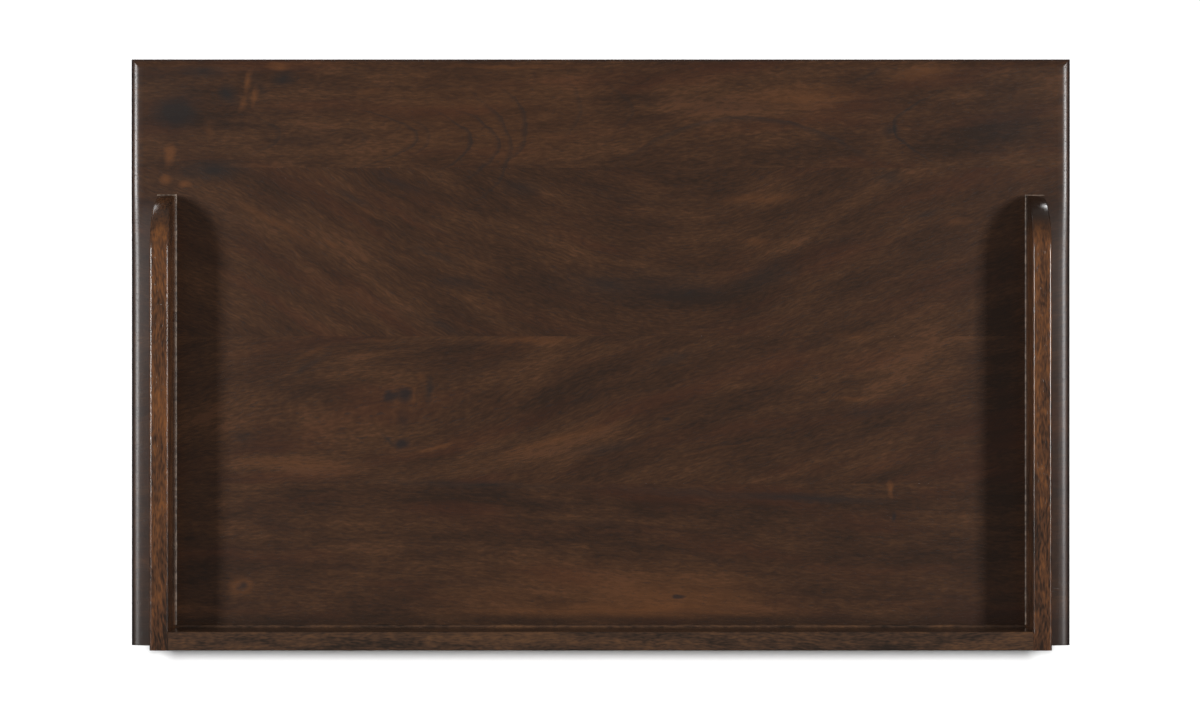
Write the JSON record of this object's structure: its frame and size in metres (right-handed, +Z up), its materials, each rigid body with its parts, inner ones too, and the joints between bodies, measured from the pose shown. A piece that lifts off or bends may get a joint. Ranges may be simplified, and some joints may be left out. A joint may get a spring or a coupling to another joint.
{
  "type": "nightstand",
  "caption": "Wooden bedside cabinet with sliding drawers on tapered legs, and a low gallery rail round the sides and back of its overhanging top.",
  "frame": {"origin": "on the floor, under the middle of the top's outline", "axes": "+Z up, -Y out of the drawer fronts, +X to the right as seen from the front"},
  "size_m": [0.66, 0.412, 0.6783],
  "materials": {
    "stained_top": "dark walnut stain under a satin lacquer",
    "stained_case": "dark walnut stain under a satin lacquer",
    "drawer_wood": "pale wood with a thin matt seal",
    "screw_steel": "plain steel, slightly dulled",
    "glide_steel": "pressed and polished steel"
  },
  "bodies": {
    "carcass": {"top_panel": "stained_top", "gallery_left_rail": "stained_top", "gallery_right_rail": "stained_top", "gallery_back_rail": "stained_top", "gallery_dowel_left_front": "drawer_wood", "gallery_dowel_left_back": "drawer_wood", "gallery_dowel_right_front": "drawer_wood", "gallery_dowel_right_back": "drawer_wood", "gallery_dowel_back_left": "drawer_wood", "gallery_dowel_back_middle": "drawer_wood", "gallery_dowel_back_right": "drawer_wood", "front_left_leg": "stained_case", "front_right_leg": "stained_case", "back_left_leg": "stained_case", "back_right_leg": "stained_case", "front_left_glide": "glide_steel", "front_right_glide": "glide_steel", "back_left_glide": "glide_steel", "back_right_glide": "glide_steel", "left_side_panel": "stained_case", "right_side_panel": "stained_case", "back_panel": "stained_case", "front_top_rail": "stained_case", "front_divider_rail": "stained_case", "front_bottom_rail": "stained_case", "left_kicker": "drawer_wood", "right_kicker": "drawer_wood", "left_upper_runner": "drawer_wood", "right_upper_runner": "drawer_wood", "left_lower_runner": "drawer_wood", "right_lower_runner": "drawer_wood", "top_screw_front_left": "screw_steel", "top_screw_front_right": "screw_steel", "top_screw_back_left": "screw_steel", "top_screw_back_right": "screw_steel", "upper_stop_block": "drawer_wood", "lower_stop_block": "drawer_wood"},
    "upper_drawer": {"upper_drawer_front": "stained_case", "upper_drawer_left_side": "drawer_wood", "upper_drawer_right_side": "drawer_wood", "upper_drawer_back": "drawer_wood", "upper_drawer_bottom": "drawer_wood", "upper_drawer_left_knob": "stained_case", "upper_drawer_right_knob": "stained_case", "upper_drawer_left_knob_screw": "screw_steel", "upper_drawer_right_knob_screw": "screw_steel"},
    "lower_drawer": {"lower_drawer_front": "stained_case", "lower_drawer_left_side": "drawer_wood", "lower_drawer_right_side": "drawer_wood", "lower_drawer_back": "drawer_wood", "lower_drawer_bottom": "drawer_wood", "lower_drawer_left_knob": "stained_case", "lower_drawer_right_knob": "stained_case", "lower_drawer_left_knob_screw": "screw_steel", "lower_drawer_right_knob_screw": "screw_steel"},
    "upper_stop": {"upper_drawer_turn_button": "drawer_wood", "upper_drawer_turn_button_screw": "screw_steel"},
    "lower_stop": {"lower_drawer_turn_button": "drawer_wood", "lower_drawer_turn_button_screw": "screw_steel"}
  },
  "joints": [
    {"name": "upper_drawer_slide", "type": "slide", "parent": "carcass", "child": "upper_drawer", "axis": [0, -1, 0], "range_m": [0, 0.288]},
    {"name": "lower_drawer_slide", "type": "slide", "parent": "carcass", "child": "lower_drawer", "axis": [0, -1, 0], "range_m": [0, 0.288]},
    {"name": "upper_stop_turn", "type": "hinge", "parent": "upper_drawer", "child": "upper_stop", "pos_m": [0, 0.1557, 0.5817], "axis": [0, 1, 0], "range_deg": [0, 90]},
    {"name": "lower_stop_turn", "type": "hinge", "parent": "lower_drawer", "child": "lower_stop", "pos_m": [0, 0.1557, 0.3917], "axis": [0, 1, 0], "range_deg": [0, 90]}
  ]
}
